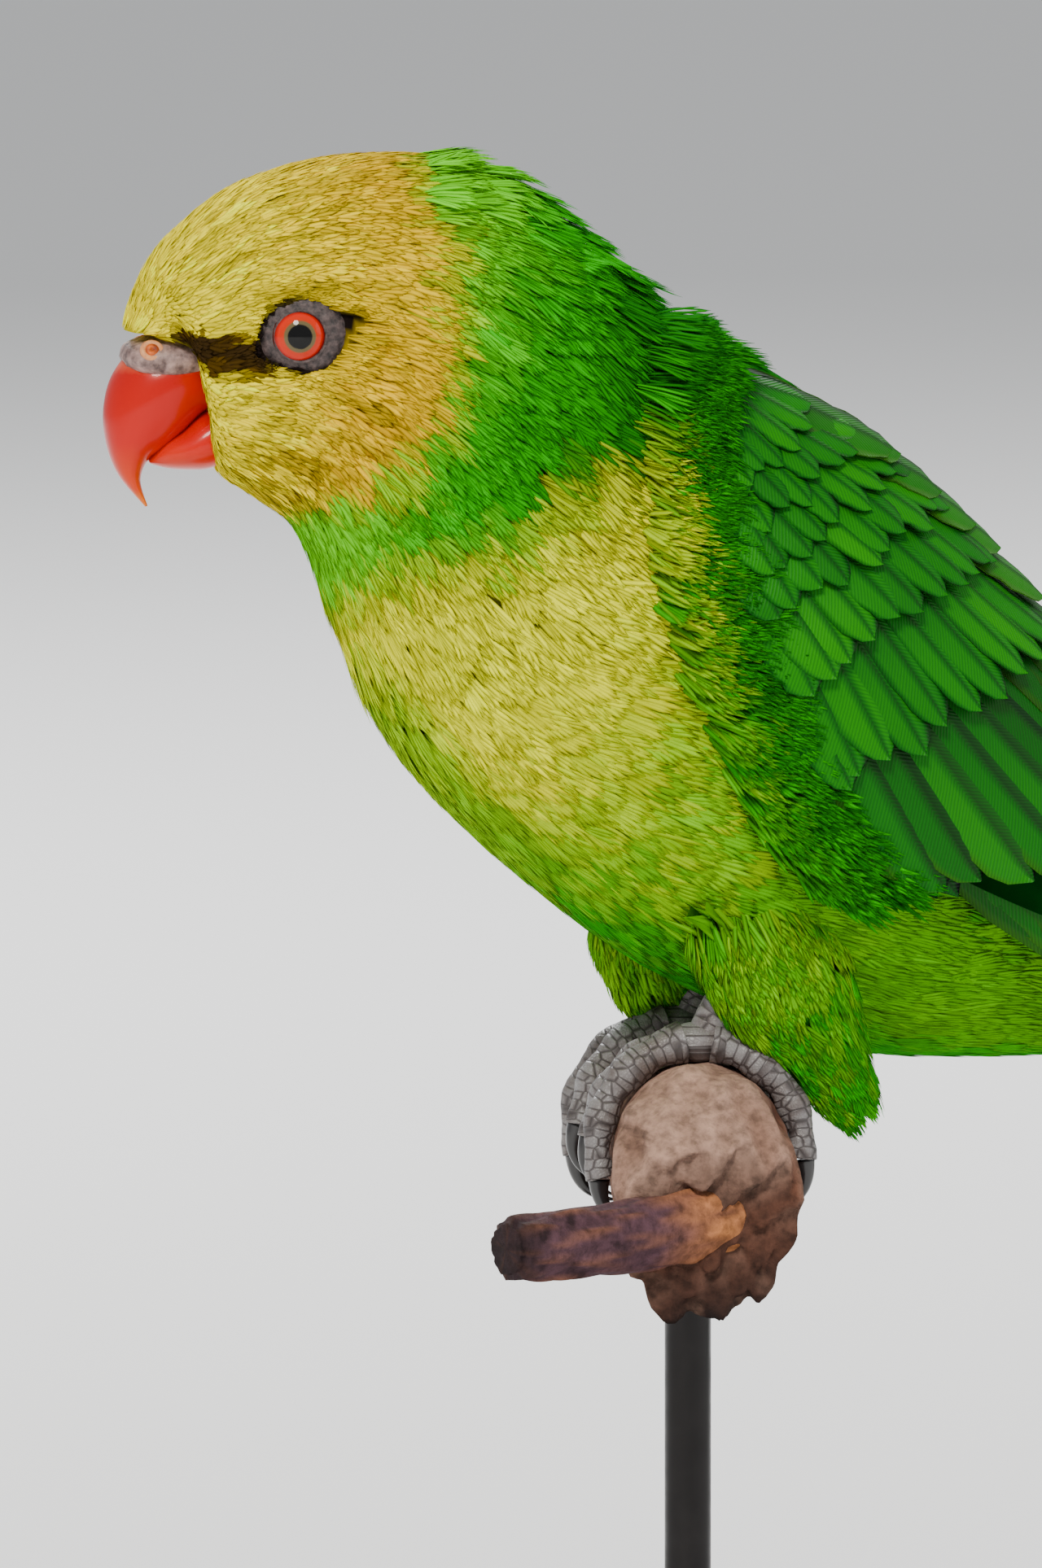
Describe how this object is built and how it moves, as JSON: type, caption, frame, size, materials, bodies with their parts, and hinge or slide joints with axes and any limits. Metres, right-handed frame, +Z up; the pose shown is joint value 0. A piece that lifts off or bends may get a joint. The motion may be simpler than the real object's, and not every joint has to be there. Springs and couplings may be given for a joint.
{
  "type": "olive-headed lorikeet model on a perch",
  "caption": "Still life-size model of a perched olive-headed lorikeet, gripping a short cut branch held by a rod over a round flat base.",
  "frame": {"origin": "centre of the base's underside, on the floor", "axes": "+Z up, the bird faces -X and its tail runs towards +X, its left side is towards -Y, and the branch runs along Y"},
  "size_m": [0.2037, 0.108, 0.1875],
  "materials": {
    "head_feathers": "soft olive-yellow feathers, matt",
    "neck_feathers": "soft lime and grass green feathers, matt",
    "breast_feathers": "soft yellow-green feathers, matt",
    "tail_feathers": "long green feathers with yellow undersides",
    "wing_feathers": "firm green feathers with dark inner webs",
    "thigh_feathers": "soft green feathers, matt",
    "cere_skin": "wrinkled pinkish-grey bare skin",
    "bill_horn": "glossy orange-red horn",
    "eye_glass": "polished eye with an orange-red iris and a dark pupil",
    "foot_scales": "light grey scaled skin",
    "claw_horn": "dark horn",
    "perch_wood": "bare weathered branch with thin bark",
    "stand_finish": "satin dark brown, almost black"
  },
  "bodies": {
    "root": {"bill_lower": "bill_horn", "bill_upper": "bill_horn", "cere": "cere_skin", "claw_left_inner_back": "claw_horn", "claw_left_inner_front": "claw_horn", "claw_left_outer_back": "claw_horn", "claw_left_outer_front": "claw_horn", "claw_right_inner_back": "claw_horn", "claw_right_inner_front": "claw_horn", "claw_right_outer_back": "claw_horn", "claw_right_outer_front": "claw_horn", "eye_left": "eye_glass", "eye_right": "eye_glass", "foot_left": "foot_scales", "foot_right": "foot_scales", "head": "head_feathers", "neck": "neck_feathers", "perch": "perch_wood", "stand_base": "stand_finish", "stand_rod": "stand_finish", "tail": "tail_feathers", "thigh_left": "thigh_feathers", "thigh_right": "thigh_feathers", "torso": "breast_feathers", "wing_left": "wing_feathers", "wing_right": "wing_feathers"}
  },
  "joints": []
}
